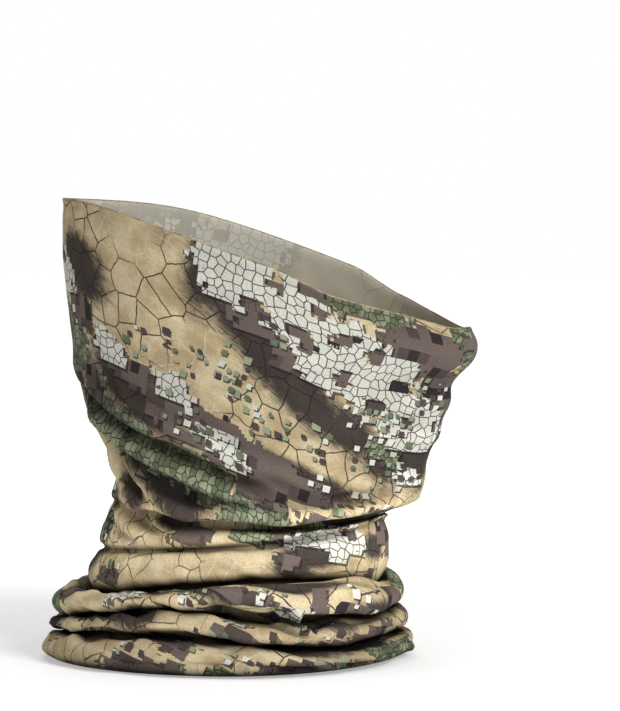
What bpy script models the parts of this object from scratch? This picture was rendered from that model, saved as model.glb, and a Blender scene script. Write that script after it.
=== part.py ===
"""Camouflage face mask: a stretch-knit tube worn over the nose, face and neck, its lower end
gathered into a collar of soft folds.

Frame: +Z up, the face looks towards -Y, +X is the wearer's left. The origin is the centre of the
bounding box's bottom face, on the surface that the collar rests on.

The tube is one knitted wall, cut into zones that lie differently on the wearer. Each zone is a
thin shell lofted through a run of guide rings, which go from the cut upper edge down to the
tucked lower end.

Units: metres for the built pieces. The guide rings are worked out in millimetres about the
wearer's axis, as sections (x, forward), where forward is -Y.
"""

import math

import bmesh
import bpy
import numpy as np
from mathutils import Matrix, Vector

# ---- wall, seam and joints, metres -----------------------------------------------------------
WALL = 0.0010  # thickness of the knitted wall
GAP = 0.0006  # clear length between one zone and the next, along the wall
FOLD_GAP = 0.0020  # the same where the wall turns over inside a fold
EDGE_BAND = 0.008  # depth of the cut upper edge zone
EDGE_BAND_RINGS = 3
SEAM_WIDTH = 0.0065  # flat seam at the centre back
SEAM_THICK = 0.0007
SEAM_CLEARANCE = 0.0006  # between the wall's inner face and the seam
SHARP_ANGLE = math.radians(60)
PIVOT_SIZE = 0.02  # drawn size of the empties
CENTRE_SHIFT = (0.00018, 0.01496, 0.0)  # moves the bounding box's centre over the origin

MIDDLE_ROLL_PIVOT_Z = 0.011
UPPER_ROLL_PIVOT_Z = 0.0203
NECK_PIVOT_Z = 0.0355
EDGE_PIVOT_BACK = 0.088  # behind the wearer's axis
EDGE_PIVOT_Z = 0.240

# ---- round the tube: column 0 is at the centre back, the columns then go by way of -X ---------
COLUMNS = 48
TURN = np.arange(COLUMNS) / COLUMNS
FRONTNESS = 0.5 - 0.5 * np.cos(2 * math.pi * TURN)  # 0 at the back, 1 at the front
SIDENESS = np.sin(2 * math.pi * TURN) ** 2  # 1 at both sides, 0 at front and back

# ---- sections, millimetres -------------------------------------------------------------------
OVAL_CENTRE = 8.0  # forward position of an oval's widest line
OVAL_POINTS = 360
SKULL_POWER = 2.25  # fullness of the ovals, where 2 is an ellipse
FOLD_POWER = 2.12
BUMP_DEPTH = 30.0  # front-to-back half-length of the midline bump
BUMP_POINTS = 72
SMOOTHING_PASSES = 2

# The wearer's form under the knit. Columns: height, half-width, back, cheek plane, midline
# front, half-width of the midline bump. Back, cheek and front are forward positions.
FORM = np.array((
    (55, 62.0, -62, 81, 82.5, 30),
    (70, 61.0, -60, 81, 83.5, 30),
    (78, 61.0, -59, 83, 93.0, 28),
    (84, 61.5, -57.5, 85, 98.0, 27),
    (88, 62.0, -57.5, 86, 100.3, 26),
    (94, 62.8, -59, 88, 101.7, 26),
    (100, 63.5, -61.5, 90, 101.7, 25),
    (106, 64.6, -65, 91, 103.0, 25),
    (110, 65.3, -67, 92, 105.4, 24),
    (115, 66.5, -69.3, 93, 109.6, 23),
    (119, 67.3, -71.3, 94, 110.5, 23),
    (123, 68.2, -73.5, 95, 110.4, 23),
    (127, 69.0, -75, 96, 111.8, 22),
    (131, 69.7, -76.5, 96.5, 114.6, 21),
    (135, 70.2, -77.6, 97, 116.0, 20),
    (139, 70.7, -78.8, 98, 115.0, 18),
    (143, 71.2, -79.8, 98.5, 115.4, 16),
    (147, 71.7, -80.8, 99, 119.2, 15),
    (151, 72.2, -81.6, 99.5, 123.8, 14),
    (155, 72.8, -82.4, 100, 127.8, 13.5),
    (160, 73.5, -83.5, 101, 129.8, 13),
    (165, 74.0, -84.3, 101, 129.6, 12),
    (170, 74.3, -85, 101, 126.8, 11),
    (175, 74.5, -85.7, 101, 122.5, 11),
    (184, 75.0, -86.5, 101, 116.0, 11),
    (196, 75.5, -88, 101, 110.0, 12),
    (210, 76.0, -89, 102, 107.0, 14),
    (228, 76.0, -89, 102, 106.0, 18),
    (250, 75.0, -87, 100, 103.0, 20),
), float)
FORM_STEP = 2.5  # height between the sections worked out from FORM
FORM_Z = np.arange(55.0, 251.0, FORM_STEP)

# ---- cut upper edge, millimetres -------------------------------------------------------------
NOSE_EDGE_Z = 171.5  # height of the upper edge at the bridge of the nose, before the sag
NOSE_EDGE_FORWARD = 129.0
NAPE_EDGE_Z = 238.0  # height where the edge runs level round the back
EDGE_SLOPE = 0.352  # rise per length backwards
EDGE_BLEND = 5.0  # softness of the turn from slope to level
EDGE_START_Z = 200.0  # first estimate of the edge's height
EDGE_ITERATIONS = 6
SAG_DEPTH = 4.6  # dip of the edge over the cheek
SAG_IN, SAG_IN_LENGTH = 42.0, 30.0  # forward position where the sag sets in, and its run
SAG_OUT, SAG_OUT_LENGTH = 117.0, 14.0  # the same where it fades out

# Face rings as shares of the way from the cut edge to the jaw ring
FACE_SHARES = (0.0, 0.045, 0.10, 0.17, 0.25, 0.33, 0.41, 0.49, 0.57, 0.65, 0.73, 0.81, 0.90, 1.0)
JAW_HEIGHTS = (89.0, 82.5, 97.0)  # front, side and back of the last face ring

# ---- folds below the jaw, millimetres --------------------------------------------------------
# Columns: name, fold number (rings of one fold wander alike), half-width, front, back,
# height at front, side and back, wander.
FOLDS = (
    ("lip",          0, 66.0, 96.5, -59.0, 83.0, 75.5, 90.0, 0.5),
    ("lip_under",    0, 65.0, 91.0, -58.5, 79.8, 73.2, 87.0, 0.4),
    ("tuck_in",      1, 60.5, 85.0, -58.5, 77.6, 73.5, 84.5, 0.3),
    ("tuck",         1, 58.5, 82.0, -58.5, 75.2, 71.5, 82.5, 0.3),
    ("band_top",     1, 60.5, 81.8, -61.0, 73.2, 69.8, 77.0, 0.3),
    ("band",         2, 64.0, 82.3, -65.5, 70.2, 66.8, 66.5, 0.8),
    ("crease_a",     3, 63.0, 82.0, -67.5, 68.0, 62.8, 58.3, 0.5),
    ("crease_a_in",  3, 60.0, 79.5, -66.0, 66.0, 60.5, 55.8, 0.3),
    ("crease_a_out", 3, 63.0, 82.0, -68.5, 64.0, 58.2, 53.3, 0.5),
    ("neck_high",    4, 67.0, 83.0, -70.5, 58.0, 53.5, 47.5, 0.9),
    ("neck_low",     4, 67.0, 81.0, -72.0, 46.0, 48.5, 38.0, 0.9),
    ("gather_a_up",  5, 63.0, 77.0, -69.0, 38.0, 45.6, 33.0, 0.4),
    ("gather_a",     5, 60.0, 74.5, -66.5, 36.0, 43.8, 31.0, 0.3),
    ("gather_a_low", 5, 63.0, 77.5, -70.0, 34.2, 42.0, 29.2, 0.4),
    ("upper_top",    6, 76.0, 86.0, -84.0, 44.0, 41.2, 34.0, 0.5),
    ("upper",        6, 85.0, 90.5, -93.5, 37.5, 36.0, 27.6, 0.7),
    ("upper_low",    7, 82.0, 87.0, -91.0, 30.5, 30.6, 22.9, 0.4),
    ("gather_b_up",  7, 74.0, 80.0, -84.0, 28.0, 29.7, 22.6, 0.3),
    ("gather_b",     7, 71.5, 77.0, -81.5, 26.0, 28.0, 20.9, 0.3),
    ("gather_b_low", 7, 74.0, 79.5, -84.0, 24.0, 26.3, 19.2, 0.3),
    ("middle_top",   7, 84.0, 85.0, -91.0, 22.6, 25.0, 18.6, 0.3),
    ("middle",       8, 88.5, 87.5, -94.5, 19.0, 21.5, 16.0, 0.5),
    ("gather_c_up",  9, 83.0, 82.5, -88.0, 13.8, 18.9, 13.4, 0.2),
    ("gather_c",     9, 80.5, 80.0, -85.5, 12.0, 17.1, 11.6, 0.2),
    ("gather_c_low", 9, 83.0, 82.5, -88.0, 10.2, 15.2, 9.9, 0.2),
    ("lower_top",    9, 91.0, 88.0, -95.5, 9.2, 12.9, 9.3, 0.2),
    ("lower",       10, 94.5, 92.0, -99.5, 5.0, 6.3, 5.0, 0.2),
    ("lower_low",   10, 91.5, 89.0, -96.5, 1.5, 1.5, 1.5, 0.0),
    ("rest_out",    10, 88.0, 85.5, -93.0, 0.5, 0.5, 0.5, 0.0),
    ("rest_mid",    10, 78.0, 76.0, -83.0, 0.5, 0.5, 0.5, 0.0),
    ("tucked_end",  10, 66.0, 64.5, -71.0, 0.5, 0.5, 0.5, 0.0),
)
RADIAL_SEED = 11  # added to the fold number to seed its in-and-out wander
HEIGHT_SEED = 71  # the same for its up-and-down wander
HEIGHT_WANDER = 0.5  # up-and-down wander as a share of in-and-out
WAVE_TURNS = (1, 2, 3, 5)  # waves round the tube, added together
WAVE_DAMPING = (1.0, 1.3, 1.8, 2.5)  # divides the height of each wave

# Zones below the face cover. Columns: object, first and last guide ring, gap at the upper and
# lower end, pivot.
ZONES = (
    ("chin_cover", "face_7", "face_13", GAP, GAP, "neck"),
    ("jaw_tuck", "face_13", "tuck", GAP, FOLD_GAP, "neck"),
    ("throat_band", "tuck", "crease_a_in", FOLD_GAP, FOLD_GAP, "neck"),
    ("neck_band", "crease_a_in", "gather_a", FOLD_GAP, FOLD_GAP, "neck"),
    ("collar_roll_upper", "gather_a", "gather_b", FOLD_GAP, FOLD_GAP, "upper_roll"),
    ("collar_roll_middle", "gather_b", "gather_c", FOLD_GAP, FOLD_GAP, "middle_roll"),
    ("collar_roll_lower", "gather_c", "rest_out", FOLD_GAP, GAP, "base"),
    ("tucked_lower_end", "rest_out", "tucked_end", GAP, 0, "base"),
)


# ---- sections of the form --------------------------------------------------------------------
def hull(points):
    """Anticlockwise convex hull: the line a stretched knit takes round a section."""
    ordered = sorted(map(tuple, points))

    def half(sequence):
        chain = []
        for x, y in sequence:
            while len(chain) > 1:
                (prev_x, prev_y), (last_x, last_y) = chain[-2:]
                across = (last_x - prev_x) * (y - prev_y) - (last_y - prev_y) * (x - prev_x)
                if across > 0:
                    break
                chain.pop()
            chain.append((x, y))
        return chain[:-1]

    return np.array(half(ordered) + half(ordered[::-1]))


def by_length(loop):
    """A closed loop as COLUMNS points at even lengths, made the same on both sides."""
    start = int(np.argmin(loop[:, 1] + 1e-3 * np.abs(loop[:, 0])))
    loop = np.roll(loop, -start, axis=0)
    if loop[1, 0] > loop[-1, 0]:
        loop = np.roll(loop[::-1], 1, axis=0)
    closed = np.vstack([loop, loop[:1]])
    run = np.r_[0, np.cumsum(np.linalg.norm(np.diff(closed, axis=0), axis=1))]
    even = np.column_stack([np.interp(TURN * run[-1], run, closed[:, k]) for k in (0, 1)])
    mirrored = even[(-np.arange(COLUMNS)) % COLUMNS] * (-1, 1)
    return (even + mirrored) / 2


def oval(half_width, front, back, power):
    """A closed oval, fuller than an ellipse where power is over 2."""
    angle = np.arange(OVAL_POINTS) / OVAL_POINTS * 2 * math.pi
    cos, sin = np.cos(angle), np.sin(angle)
    reach = np.where(cos > 0, front - OVAL_CENTRE, OVAL_CENTRE - back)
    exponent = 2 / power
    return np.column_stack([
        half_width * np.sign(sin) * np.abs(sin) ** exponent,
        OVAL_CENTRE + reach * np.sign(cos) * np.abs(cos) ** exponent,
    ])


def form_sections():
    """The knit stretched round the form at each of FORM_Z: array [height, column, section]."""
    angle = np.linspace(0, 2 * math.pi, BUMP_POINTS, endpoint=False)
    sections = []
    for z in FORM_Z:
        half_width, back, cheek, front, bump = (
            np.interp(z, FORM[:, 0], FORM[:, k]) for k in range(1, 6)
        )
        skull = oval(half_width, cheek, back, SKULL_POWER)
        midline = np.column_stack([
            bump * np.sin(angle),
            front - BUMP_DEPTH + BUMP_DEPTH * np.cos(angle),
        ])
        sections.append(by_length(hull(np.vstack([skull, midline]))))
    sections = np.array(sections)
    for _ in range(SMOOTHING_PASSES):  # soft along the height, as a knit is
        padded = np.concatenate([sections[:1], sections, sections[-1:]])
        sections = (padded[:-2] + 2 * padded[1:-1] + padded[2:]) / 4
    return sections


def form_at(sections, heights):
    """The stretched form with a height of its own for each column: array [column, section]."""
    place = np.clip((heights - FORM_Z[0]) / FORM_STEP, 0, len(FORM_Z) - 1.001)
    below = place.astype(int)
    share = (place - below)[:, None]
    column = np.arange(COLUMNS)
    return sections[below, column] * (1 - share) + sections[below + 1, column] * share


# ---- guide rings -----------------------------------------------------------------------------
def ease(t):
    """0 to 1 with level ends."""
    t = np.clip(t, 0, 1)
    return t * t * (3 - 2 * t)


def wander(seed, reach):
    """A slow, closed wave round the tube, the same on each run."""
    rng = np.random.RandomState(seed)
    phases = rng.uniform(0, 2 * math.pi, 4)
    weights = rng.uniform(0.5, 1.0, 4) / np.array(WAVE_DAMPING)
    return reach * sum(
        weight * np.sin(2 * math.pi * turns * TURN + phase)
        for weight, turns, phase in zip(weights, WAVE_TURNS, phases)
    )


def heights_round(front, side, back):
    """Heights of a ring's columns that pass through the three given ones."""
    tilted = back + (front - back) * FRONTNESS
    return tilted + (side - (front + back) / 2) * SIDENESS


def ring(section, heights):
    return np.column_stack([section[:, 0], -section[:, 1], heights])


def cut_edge_heights(sections):
    """Up from the nose past the ear with a slight sag over the cheek, then level at the back.

    The height depends on how far forward the edge lies, and that on the height, so both are
    settled by iteration.
    """
    heights = np.full(COLUMNS, EDGE_START_Z)
    for _ in range(EDGE_ITERATIONS):
        forward = form_at(sections, heights)[:, 1]
        sag = ease((forward - SAG_IN) / SAG_IN_LENGTH) - ease((forward - SAG_OUT) / SAG_OUT_LENGTH)
        slope = NOSE_EDGE_Z + EDGE_SLOPE * (NOSE_EDGE_FORWARD - forward) - SAG_DEPTH * sag
        heights = slope - np.logaddexp(0, (slope - NAPE_EDGE_Z) / EDGE_BLEND) * EDGE_BLEND
    return heights


def guide_rings():
    """Names of the rings from the cut edge down, and their points about the origin, metres."""
    names, rings = [], []
    sections = form_sections()
    edge = cut_edge_heights(sections)
    jaw = heights_round(*JAW_HEIGHTS)
    for number, share in enumerate(FACE_SHARES):
        heights = edge + (jaw - edge) * share
        names.append(f"face_{number}")
        rings.append(ring(form_at(sections, heights), heights))

    for name, fold, half_width, front, back, front_z, side_z, back_z, reach in FOLDS:
        section = by_length(oval(half_width, front, back, FOLD_POWER))
        outward = section / np.linalg.norm(section, axis=1)[:, None]
        section = section + outward * wander(RADIAL_SEED + fold, reach)[:, None]
        heights = heights_round(front_z, side_z, back_z)
        heights = heights + wander(HEIGHT_SEED + fold, reach * HEIGHT_WANDER)
        names.append(name)
        rings.append(ring(section, heights))
    return names, np.array(rings) / 1000 + CENTRE_SHIFT


# ---- Blender helpers -------------------------------------------------------------------------
def clear_scene():
    for obj in list(bpy.data.objects):
        bpy.data.objects.remove(obj)


def material(name, colour, roughness):
    mat = bpy.data.materials.new(name)
    mat.use_nodes = True
    shader = mat.node_tree.nodes["Principled BSDF"]
    shader.inputs["Base Color"].default_value = (*colour, 1)
    shader.inputs["Roughness"].default_value = roughness
    shader.inputs["Metallic"].default_value = 0.0
    return mat


def pivot(name, location, collection, parent=None):
    """An empty at a world location."""
    empty = bpy.data.objects.new(name, None)
    empty.empty_display_size = PIVOT_SIZE
    empty.location = location
    collection.objects.link(empty)
    if parent is not None:
        empty.parent = parent
        empty.location = Vector(location) - parent.matrix_world.translation
    bpy.context.view_layer.update()  # children read this empty's world matrix
    return empty


def loft_mesh(name, rows, closed):
    """Rows of points joined by a strip of faces, one row to the next."""
    bm = bmesh.new()
    vert_rows = [[bm.verts.new(point) for point in row] for row in rows]
    count = rows.shape[1]
    for upper, lower in zip(vert_rows, vert_rows[1:]):
        for k in range(count if closed else count - 1):
            after = (k + 1) % count
            bm.faces.new((upper[k], upper[after], lower[after], lower[k]))
    mesh = bpy.data.meshes.new(name)
    bm.to_mesh(mesh)
    bm.free()
    return mesh


def shell(name, rows, mat, parent, collection, thickness=WALL, closed=True):
    """An open loft made solid about its mid-surface, with its origin at the parent's."""
    mesh = loft_mesh(name, rows, closed)
    mesh.shade_smooth()
    mesh.set_sharp_from_angle(angle=SHARP_ANGLE)
    mesh.materials.append(mat)
    mesh.transform(Matrix.Translation(-parent.matrix_world.translation))
    obj = bpy.data.objects.new(name, mesh)
    collection.objects.link(obj)
    obj.parent = parent
    solid = obj.modifiers.new("Wall", "SOLIDIFY")
    solid.thickness = thickness
    solid.offset = 0.0
    solid.use_even_offset = False


def trimmed(rows, upper_gap, lower_gap):
    """Rows pulled in along the wall by half the given gap at each open end."""
    out = rows.copy()
    for end, inner, gap in ((0, 1, upper_gap), (-1, -2, lower_gap)):
        step = out[inner] - out[end]
        length = np.linalg.norm(step, axis=1)[:, None]
        out[end] += step / length * np.minimum(gap / 2, 0.6 * length)
    return out


# ---- the model -------------------------------------------------------------------------------
def build_pivots(collection):
    """Each moving group hangs from an empty on its joint."""
    base = pivot("base_pivot", (0, 0, 0), collection)
    middle = pivot("middle_roll_pivot", (0, 0, MIDDLE_ROLL_PIVOT_Z), collection, base)
    upper = pivot("upper_roll_pivot", (0, 0, UPPER_ROLL_PIVOT_Z), collection, middle)
    neck = pivot("neck_pivot", (0, 0, NECK_PIVOT_Z), collection, upper)
    edge_at = (0, CENTRE_SHIFT[1] + EDGE_PIVOT_BACK, EDGE_PIVOT_Z)
    edge = pivot("upper_edge_pivot", edge_at, collection, neck)
    return {"base": base, "middle_roll": middle, "upper_roll": upper, "neck": neck, "edge": edge}


def edge_band_rows(cut, below):
    """Rows of the upper edge zone, a fixed depth of the wall below the cut."""
    length = np.linalg.norm(below - cut, axis=1)[:, None]
    share = np.minimum(EDGE_BAND / length, 0.95)
    steps = np.linspace(0, 1, EDGE_BAND_RINGS)[:, None, None]
    return cut + (below - cut) * share * steps


def seam_rows(wall_rows):
    """Rows across the flat seam, just inside the wall at the centre back."""
    inset = np.array([0, -(WALL / 2 + SEAM_THICK / 2 + SEAM_CLEARANCE), 0])
    rows = []
    for row in wall_rows:
        tangent = row[1] - row[-1]
        tangent[2] = 0
        tangent /= np.linalg.norm(tangent)
        rows.append([row[0] + tangent * SEAM_WIDTH * k + inset for k in (-0.5, 0, 0.5)])
    return np.array(rows)


def build():
    clear_scene()
    home = bpy.data.collections.new("face_mask")
    bpy.context.scene.collection.children.link(home)

    knit = material("camo_knit", colour=(0.36, 0.31, 0.22), roughness=0.85)
    cut_edge = material("cut_edge", colour=(0.22, 0.19, 0.16), roughness=0.9)
    thread = material("seam_thread", colour=(0.16, 0.14, 0.12), roughness=0.7)
    pivots = build_pivots(home)
    names, rings = guide_rings()

    def between(first, last):
        return rings[names.index(first) : names.index(last) + 1]

    edge_rows = edge_band_rows(*between("face_0", "face_1"))
    shell("upper_edge_band", trimmed(edge_rows, 0, GAP), cut_edge, pivots["edge"], home)

    face_rows = np.concatenate([edge_rows[-1:], between("face_2", "face_7")])
    shell("face_cover", trimmed(face_rows, GAP, GAP), knit, pivots["neck"], home)

    for name, first, last, upper_gap, lower_gap, joint in ZONES:
        rows = trimmed(between(first, last), upper_gap, lower_gap)
        shell(name, rows, knit, pivots[joint], home)

    seam = seam_rows(between("face_2", "face_13"))
    shell("back_seam", seam, thread, pivots["neck"], home, thickness=SEAM_THICK, closed=False)


build()
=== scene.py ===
"""Looks for the camouflage face mask: a stretch-knit tube with its print, its folds, its cut edge and
its back seam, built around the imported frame. It stands upright with the collar folded down round its
foot, the wearer's front towards -Y and the back seam towards +Y. The frame is in metres, as the CAD.
Lengths in the cloth functions are in millimetres about the wearer's axis. There, sections are drawn
with y forwards, and grid points have y backwards. "Share" is the share of the way round the tube,
from the centre back by way of -X. U counts print cells round the tube and V counts them down from
the cut edge."""

import math

import bmesh
import bpy
import numpy as np
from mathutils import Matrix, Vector
from mathutils.bvhtree import BVHTree


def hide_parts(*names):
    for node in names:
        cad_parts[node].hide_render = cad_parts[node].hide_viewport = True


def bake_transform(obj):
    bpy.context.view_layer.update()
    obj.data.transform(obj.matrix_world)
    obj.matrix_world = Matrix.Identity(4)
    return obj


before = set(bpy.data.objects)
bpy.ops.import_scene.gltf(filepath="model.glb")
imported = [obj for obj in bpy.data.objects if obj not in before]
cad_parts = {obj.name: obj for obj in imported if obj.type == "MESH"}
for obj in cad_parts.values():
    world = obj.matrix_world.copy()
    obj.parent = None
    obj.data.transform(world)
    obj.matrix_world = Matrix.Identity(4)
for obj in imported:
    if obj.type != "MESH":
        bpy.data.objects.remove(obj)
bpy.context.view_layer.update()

SHIFT = np.array([0.18, 14.96, 0.0])  # from the wearer's axis to the frame's origin
COLUMNS = 420          # columns of the cloth grid round the tube
FACE_ROWS = 84         # rows of the cloth grid from the cut edge to the jaw
ROW_STEP = 1.25        # spacing of the rows below the jaw
FINE = 720             # points of a section or of a guide ring
CELLS_ROUND = 190      # print cells round the tube
CELL_HEIGHT = 2.95     # height of a print cell
CLOTH = 0.75           # thickness of the jersey
LEAN = 0.052           # share by which the columns lean back from the cut edge to the jaw
NOSE_EDGE_Z = 171.5
NAPE_EDGE_Z = 238.0
TURN = 2 * math.pi

# ------------------------------------------------------------------------------------------------
# tables of the form and the folds
# ------------------------------------------------------------------------------------------------
# height, half width, back, front of the sides, front of the middle, half width of the middle
FORM = (
    (55, 62, -62, 81, 82.5, 30), (70, 61, -60, 81, 83.5, 30), (78, 61, -59, 83, 93, 28),
    (84, 61.5, -57.5, 85, 98, 27), (88, 62, -57.5, 86, 100.3, 26), (94, 62.8, -59, 88, 101.7, 26),
    (100, 63.5, -61.5, 90, 101.7, 25), (106, 64.6, -65, 91, 103, 25),
    (110, 65.3, -67, 92, 105.4, 24), (115, 66.5, -69.3, 93, 109.6, 23),
    (119, 67.3, -71.3, 94, 110.5, 23), (123, 68.2, -73.5, 95, 110.4, 23),
    (127, 69, -75, 96, 111.8, 22), (131, 69.7, -76.5, 96.5, 114.6, 21),
    (135, 70.2, -77.6, 97, 116, 20), (139, 70.7, -78.8, 98, 115, 18),
    (143, 71.2, -79.8, 98.5, 115.4, 16), (147, 71.7, -80.8, 99, 119.2, 15),
    (151, 72.2, -81.6, 99.5, 123.8, 14), (155, 72.8, -82.4, 100, 127.8, 13.5),
    (160, 73.5, -83.5, 101, 129.8, 13), (165, 74, -84.3, 101, 129.6, 12),
    (170, 74.3, -85, 101, 126.8, 11), (175, 74.5, -85.7, 101, 122.5, 11),
    (184, 75, -86.5, 101, 116, 11), (196, 75.5, -88, 101, 110, 12), (210, 76, -89, 102, 107, 14),
    (228, 76, -89, 102, 106, 18), (250, 75, -87, 100, 103, 20),
)
FORM_STEP = 2.5
FORM_Z = np.arange(55.0, 251.0, FORM_STEP)

# Guide rings down the folded cloth: name, seed of the wander, half width, front, back,
# heights at the front, the sides and the back, and how far the ring wanders
FOLDS = (
    ("lip", 0, 66, 96.5, -60.5, 83, 77.7, 90, 0.5),
    ("lip_under", 0, 65, 91, -61.5, 79.8, 75.4, 87, 0.4),
    ("tuck_in", 1, 60.5, 84, -62, 77.6, 75.3, 84.5, 0.3),
    ("tuck", 1, 58.5, 79, -62.5, 75.2, 73.5, 82.5, 0.3),
    ("band_top", 1, 60.5, 78.6, -65, 73.2, 71.4, 77, 0.3),
    ("band", 2, 64, 79, -69, 70.2, 66.8, 66.5, 0.8),
    ("crease_a", 3, 63, 78.8, -71, 68, 62.8, 58.3, 0.5),
    ("crease_a_in", 3, 60, 78.2, -69.5, 66, 60.5, 55.8, 0.3),
    ("crease_a_out", 3, 63, 78.8, -72, 64, 58.2, 53.3, 0.5),
    ("neck_high", 4, 67, 79.4, -74.5, 58, 53.5, 47.5, 0.9),
    ("neck_low", 4, 67, 77.4, -76, 46, 48.5, 38, 0.9),
    ("gather_a_up", 5, 63, 74.5, -72.5, 38, 45.6, 33, 0.4),
    ("gather_a", 5, 60, 72.5, -69.5, 36, 43.8, 31, 0.3),
    ("gather_a_low", 5, 63, 75.5, -72.5, 34.2, 42, 29.2, 0.4),
    ("upper_top", 6, 76, 80, -84.5, 40, 41.2, 36.8, 0.5),
    ("upper", 6, 85, 88.5, -94, 35, 36, 29.5, 0.7),
    ("upper_low", 7, 82, 87, -91, 30.5, 30.6, 22.9, 0.4),
    ("gather_b_up", 7, 74, 80, -84, 28, 29.7, 22.6, 0.3),
    ("gather_b", 7, 71.5, 77, -81.5, 26, 28, 20.9, 0.3),
    ("gather_b_low", 7, 74, 79.5, -84, 24, 26.3, 19.2, 0.3),
    ("middle_top", 7, 84, 85, -91, 22.6, 25, 18.6, 0.3),
    ("middle", 8, 88.5, 87.5, -94.5, 19, 21.5, 16, 0.5),
    ("gather_c_up", 9, 83, 82.5, -88, 13.8, 18.9, 13.4, 0.2),
    ("gather_c", 9, 80.5, 80, -85.5, 12, 17.1, 11.6, 0.2),
    ("gather_c_low", 9, 83, 82.5, -88, 10.2, 15.2, 9.9, 0.2),
    ("lower_top", 9, 91, 88, -95.5, 9.2, 12.9, 9.3, 0.2),
    ("lower", 10, 94.5, 92, -99.5, 5, 6.3, 5, 0.2),
    ("lower_low", 10, 91.5, 89, -96.5, 3, 1.5, 1.5, 0),
    ("rest_out", 10, 88, 85.5, -93, 2, 0.5, 0.5, 0),
    ("rest_mid", 10, 78, 76, -83, 1.2, 0.5, 0.5, 0),
    ("tucked_end", 10, 66, 64.5, -71, 0.5, 0.5, 0.5, 0),
)
MARK = {ring[0]: k for k, ring in enumerate(FOLDS)}
TOP_MARK = -9  # above every row of the face

# How far single creases rise on the -X side: shares from nape to front, and the rise at each
LIFT_SHARES = (0, 0.045, 0.091, 0.136, 0.182, 0.227, 0.273, 0.318, 0.364, 0.409, 0.4545, 0.5)
LIFTS = {
    "crease": ((0, 0.34, 0.409, 0.4545, 0.5), (0, 0, 2.3, 4.3, 7.2)),
    "gather": (LIFT_SHARES, (-0.8, -1.6, -2.6, -3.3, -3.6, -2.6, -0.8, 1.6, 3.2, 4.6, 3, -1.2)),
    "split": (LIFT_SHARES, (-0.3, -0.4, 0, 1.3, 3.4, 4.8, 1.8, -3.2, -4, 1.6, -0.8, 0)),
    "low": (LIFT_SHARES, (-0.8, 1, 2, 2.2, 1.5, 0.9, 1.2, 0.2, -2.2, -2.2, 0.8, 0.2)),
}
LIFT_OF = {
    "band_top": {"crease": 0.25}, "band": {"crease": 0.6}, "crease_a": {"crease": 0.85},
    "crease_a_in": {"crease": 1}, "crease_a_out": {"crease": 1.05},
    "neck_high": {"crease": 0.6, "gather": 0.2}, "neck_low": {"gather": 0.6},
    "gather_a_up": {"gather": 1}, "gather_a": {"gather": 1}, "gather_a_low": {"gather": 1},
    "upper_top": {"gather": 0.8}, "upper": {"gather": 0.5, "split": 0.5},
    "upper_low": {"split": 0.9}, "gather_b_up": {"split": 1}, "gather_b": {"split": 1},
    "gather_b_low": {"split": 1}, "middle_top": {"split": 0.9, "low": 0.1},
    "middle": {"split": 0.5, "low": 0.5}, "gather_c_up": {"low": 1}, "gather_c": {"low": 1},
    "gather_c_low": {"low": 1}, "lower_top": {"low": 0.9}, "lower": {"low": 0.15},
}


# ------------------------------------------------------------------------------------------------
# sections and rings
# ------------------------------------------------------------------------------------------------
def ease(x):
    x = np.clip(x, 0, 1)
    return x * x * (3 - 2 * x)


def bell(x):
    return np.exp(-(x**2))


def unit(vectors):
    """Vectors along the last axis, at length 1."""
    return vectors / np.maximum(np.linalg.norm(vectors, axis=-1), 1e-9)[..., None]


def hull(points):
    """Convex hull: the line that a stretched knit takes round a section."""
    ordered = sorted(map(tuple, points))

    def half(sequence):
        out = []
        for point in sequence:
            while len(out) > 1:
                (ax, ay), (bx, by) = out[-2], out[-1]
                if (bx - ax) * (point[1] - ay) - (by - ay) * (point[0] - ax) > 0:
                    break
                out.pop()
            out.append(point)
        return out[:-1]

    return np.array(half(ordered) + half(ordered[::-1]))


def by_length(loop):
    """A closed loop made symmetric, from the centre back towards -X, at even lengths."""
    start = int(np.argmin(loop[:, 1] + 1e-3 * np.abs(loop[:, 0])))
    loop = np.roll(loop, -start, axis=0)
    if loop[1, 0] > loop[-1, 0]:
        loop = np.roll(loop[::-1], 1, axis=0)
    closed = np.vstack([loop, loop[:1]])
    run = np.r_[0, np.cumsum(np.linalg.norm(np.diff(closed, axis=0), axis=1))]
    at = np.arange(FINE) / FINE * run[-1]
    out = np.column_stack([np.interp(at, run, closed[:, k]) for k in (0, 1)])
    mirrored = out[(-np.arange(FINE)) % FINE] * (-1, 1)
    return (out + mirrored) / 2


def oval(half_width, front, back, power, centre=8.0):
    """A superellipse with its own reach to the front and to the back of the centre."""
    angle = np.arange(FINE) / FINE * TURN
    cos, sin = np.cos(angle), np.sin(angle)
    reach = np.where(cos > 0, front - centre, centre - back)
    x = half_width * np.sign(sin) * np.abs(sin) ** (2 / power)
    return np.column_stack([x, centre + reach * np.sign(cos) * np.abs(cos) ** (2 / power)])


def form_table():
    """Sections of the form at the heights FORM_Z, smoothed up and down."""
    data = np.array(FORM, float)
    angle = np.linspace(0, TURN, 144, endpoint=False)
    depth = 30.0  # of the oval at the front of the middle
    rows = []
    for z in FORM_Z:
        half_width, back, sides, front, middle_half = (
            np.interp(z, data[:, 0], data[:, k]) for k in range(1, 6)
        )
        head = oval(half_width, sides, back, power=2.25)
        middle = np.column_stack(
            [middle_half * np.sin(angle), front - depth + depth * np.cos(angle)]
        )
        rows.append(by_length(hull(np.vstack([head, middle]))))
    table = np.array(rows)
    for _ in range(2):
        padded = np.concatenate([table[:1], table, table[-1:]])
        table = (padded[:-2] + 2 * padded[1:-1] + padded[2:]) / 4
    return table


def neighbours(count, share):
    """The two points of a ring on each side of a share, and the way between them, 0 to 1."""
    place = (share % 1.0) * count
    first = np.floor(place).astype(int) % count
    return first, (first + 1) % count, (place - np.floor(place))[..., None]


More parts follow.
